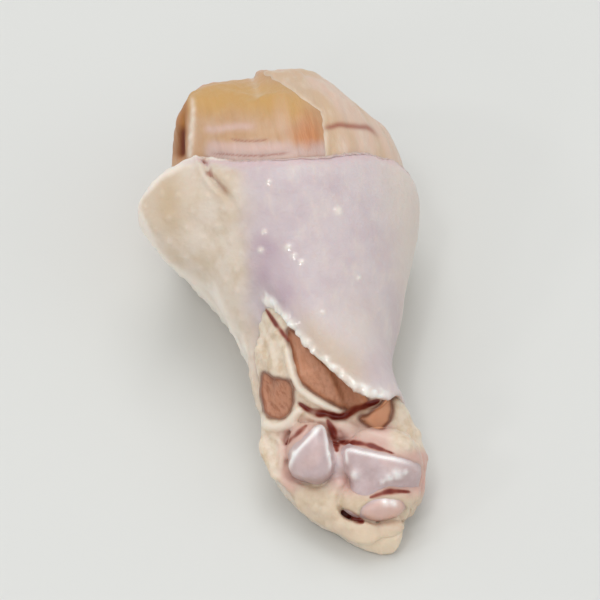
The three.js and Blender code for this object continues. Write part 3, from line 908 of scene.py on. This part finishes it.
# Relief, and then ragged edges and the lip at the tip.
height = 0.3 * lumps(points, 12.0, 24) + 0.08 * lumps(points, 2.6, 25)
height += web * (0.7 * lumps(points, 6.5, 26) + 0.15 * lumps(points, 2.6, 27)) + 0.3 * web_outline
height += cream * (0.1 * lumps(points, 2.4, 28) + 0.05 * lumps(points, 1.2, 29))
height += crisp * bell(from_elbow - 0.9, 0.8) * (0.25 + 0.4 * bumps)
height -= 0.6 * flush * ramp(3, 0, from_elbow) + 0.45 * top_edge * ramp(2.5, 0.3, from_shoulder)
height += over * (0.4 * bell(step + 0.4, 0.5) - 0.7 * bell(step - 0.5, 0.45))
height += glints * (0.2 + 0.25 * crisp * bell(from_elbow - 0.9, 1.5))
points += normals * (height * outer)[:, None]
ragged = 0.5 * lumps(points, 3.5, 30) + 0.25 * lumps(points, 1.3, 31)
points[:, 1] += ragged * ramp(4.5, 0.5, from_cut)
lip = ramp(-35, -39, y) * ramp(6, 3, z)
points[:, 2] = np.maximum(points[:, 2], 0.0) + LIP_RISE * lip * ramp(0.2, 1.6, z)
write_points(skin.data, points)
# White: the cut edge's own, and painted highlights on the web's rolled outline and on the glints.
white = crisp * edge_start * bell(from_elbow - 0.8, 0.9) * (0.7 + 0.6 * bumps) + web_outline + 0.8 * glints
patches = ramp(-0.2, 0.4, lumps(points, 1.8, 32))
# Dark red in the fold at the web's inner edge and along the shoulder edge: partly blood, partly painted
# shade.
blood = over * bell(step - 0.5, 0.45) * patches + 0.6 * top_edge * bell(from_shoulder + 0.1, 0.3)
wet = np.maximum(glints, crisp * bell(from_elbow - 0.9, 0.9) * ramp(-0.3, 0.3, bumps))
# Painted highlight along the cut edge, at both of its ends as they are seen, broken up by bumps.
highlight_stretch = np.maximum(ramp(1.5, -1.0, u), ramp(8.0, 10.0, u))
highlight_stretch *= ramp(-0.2, 0.3, bumps + 0.4 * lumps(points, 2.6, 34))
by_edge = 0.6 * crisp * ramp(9, 3, from_elbow) * ramp(-2, 2, u) * ramp(12, 7, u)
beige = np.maximum(ramp(11, 18, x), 0.6 * facing * patch(places, *PALE_BELLY))
paint(skin.data, "cream", cream)
paint(skin.data, "edge_highlight", 0.9 * crisp * edge_start * bell(from_elbow - 0.9, 0.7) * highlight_stretch)
paint(skin.data, "deep", np.clip(0.75 * deep * (1 + 0.5 * lumps(points, 2.5, 33)), 0, 1))
paint(skin.data, "tan", facing * np.maximum(np.max(shades, axis=0), by_edge))
paint(skin.data, "white", np.clip(white * outer, 0, 1))
paint(skin.data, "pink", 0.7 * outer * top_edge * bell(from_shoulder - 0.9, 0.9))
paint(skin.data, "lining", (1 - outer) * (1 - lip))
# Painted light: the lip at the tip faces away from the lamps and is painted lighter.
paint(skin.data, "tip", lip * ramp(7, 11, u))
paint(skin.data, "beige", outer * beige)
paint(skin.data, "blood", np.clip(blood, 0, 1))
paint(skin.data, "wet", np.clip(wet, 0, 1))
paint(skin.data, "follicle", outer * ramp(0.5, 3.0, from_cut) * (0.25 + 0.75 * cream) * ramp(1, 3, z))


def with_pimples(graph, skin_in, spacing, width, rise):
    """Raises the small bumps that feathers leave, where the mesh is painted with follicle."""
    scattered = graph.node(
        "GeometryNodeDistributePointsOnFaces", {"distribute_method": "POISSON"}, skin_in,
        Distance_Min=spacing, Density_Max=600000.0, Seed=3, output="Points",
    )
    distance = graph.node("GeometryNodeProximity", {"target_element": "POINTS"}, scattered, output="Distance")
    smooth = {"interpolation_type": "SMOOTHSTEP"}
    bump = graph.node("ShaderNodeMapRange", smooth, distance, 0.0, width, 1.0, 0.0)
    strength = graph.node("GeometryNodeInputNamedAttribute", {"data_type": "FLOAT"}, "follicle")
    normal = graph.node("GeometryNodeInputNormal")
    offset = graph.node("ShaderNodeVectorMath", {"operation": "SCALE"}, normal, Scale=bump * strength * rise)
    raised = graph.node("GeometryNodeSetPosition", None, skin_in, Offset=offset)
    return graph.node(
        "GeometryNodeStoreNamedAttribute", {"data_type": "FLOAT", "domain": "POINT"}, raised,
        Name="pimple", Value=bump * strength,
    )


hide = Flesh("raw skin", glow=0.3, glow_depth=2.2, shine=0.4)
fine = hide.cloud(0.9, 4.0)
vein = hide.cloud(2.2, 4.0, along=3)
colour = hide.blend(hide.cloud(8.0).between(0.35, 0.7), LILAC, LILAC_DEEP)
colour = hide.blend(vein.between(0.45, 0.75) * 0.4, colour, BEIGE)
colour = hide.blend(hide.painted("beige") * 0.8, colour, BEIGE)
colour = hide.blend(hide.painted("deep"), colour, LILAC_DARK)
fat = hide.blend(hide.cloud(4.0).between(0.35, 0.75), CREAM, CREAM_DEEP)
colour = hide.blend(hide.painted("cream"), colour, fat)
# Tan near the cut edge and on the web, in part painted shade beside the web's fold.
colour = hide.blend(hide.painted("tan"), colour, CREAM_TAN)
# Painted light at the tip.
colour = hide.blend(hide.painted("tip") * 0.8, colour, FAT_PAINTED_LIGHT)
colour = hide.blend(hide.painted("pink"), colour, SKIN_PINK)
colour = hide.blend(hide.painted("pimple") * 0.15, colour, SKIN_WHITE)
# White of the cut edge, and painted highlights on the web's outline and the glints.
colour = hide.blend(hide.painted("white"), colour, SKIN_WHITE)
# Painted highlight along the cut edge.
colour = hide.blend(hide.painted("edge_highlight"), colour, HIGHLIGHT_WHITE)
colour = hide.blend(hide.painted("lining") * 0.6, colour, CREAM_DEEP)
# Blood and painted shade.
colour = hide.blend(hide.painted("blood") * 0.8, colour, BLOOD_AND_SHADE)
hide.set("Base Color", colour)
hide.set("Roughness", 0.3 + fine * 0.25)
hide.set("Coat Weight", hide.painted("wet"))
hide.set("Normal", hide.relief(fine, 0.14))
skin.data.materials.append(hide.material)
grown(skin, "pimples", {"Spacing": 2.5, "Width": 0.8, "Rise": 0.2}, hide.material, with_pimples)
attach(skin, "root")
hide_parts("skin")


# Floor, light and camera, which don't belong to the wing: a pale floor, one wide soft light overhead, two
# wide ones from the front and the right, four small ones for the wet glints, and the camera where VIEW says.
FLOOR_PALE = rgb(216, 216, 212)
SKY = (0.96, 0.98, 1.0, 1)
SKY_STRENGTH = 0.62
# The camera's focal length in millimetres.
LENS = 228
# The distance of the lights in metres, and for each its name, azimuth, elevation, size in metres and watts.
LAMP_DISTANCE = 0.8
LAMPS = [
    ("overhead", 175, 72, 0.55, 2.0),
    ("front fill", -10, 38, 0.4, 0.5),
    ("side fill", 60, 28, 0.5, 0.45),
    ("glint", -40, 62, 0.1, 0.5),
    ("edge glint", -46, 29, 0.08, 0.25),
    ("low glint", -75, 38, 0.08, 0.3),
    ("back glint", 170, 50, 0.12, 0.25),
]

floor_mesh = bpy.data.meshes.new("floor")
floor_mesh.from_pydata([(-1, -1, 0), (1, -1, 0), (1, 1, 0), (-1, 1, 0)], [], [(0, 1, 2, 3)])
floor = new_piece("floor", floor_mesh)
floor_finish = bpy.data.materials.new("floor")
floor_finish.use_nodes = True
floor_finish.node_tree.nodes["Principled BSDF"].inputs["Base Color"].default_value = FLOOR_PALE
floor_finish.node_tree.nodes["Principled BSDF"].inputs["Roughness"].default_value = 0.7
floor_mesh.materials.append(floor_finish)

world = bpy.data.worlds.new("studio")
world.use_nodes = True
world.node_tree.nodes["Background"].inputs["Color"].default_value = SKY
world.node_tree.nodes["Background"].inputs["Strength"].default_value = SKY_STRENGTH
bpy.context.scene.world = world
bpy.context.scene.view_settings.view_transform = "Standard"

for name, azimuth, elevation, size, watts in LAMPS:
    data = bpy.data.lights.new(name, "AREA")
    data.size = size
    data.energy = watts
    away = Vector(towards(azimuth, elevation))
    light = bpy.data.objects.new(name, data)
    light.location = away * LAMP_DISTANCE
    light.rotation_euler = away.to_track_quat("Z", "Y").to_euler()
    bpy.context.scene.collection.objects.link(light)

camera = bpy.data.objects.new("camera", bpy.data.cameras.new("camera"))
camera.data.lens = LENS
camera.location = Vector(eye) * MM
camera.rotation_euler = Vector(to_eye).to_track_quat("Z", "Y").to_euler()
bpy.context.scene.collection.objects.link(camera)
bpy.context.scene.camera = camera
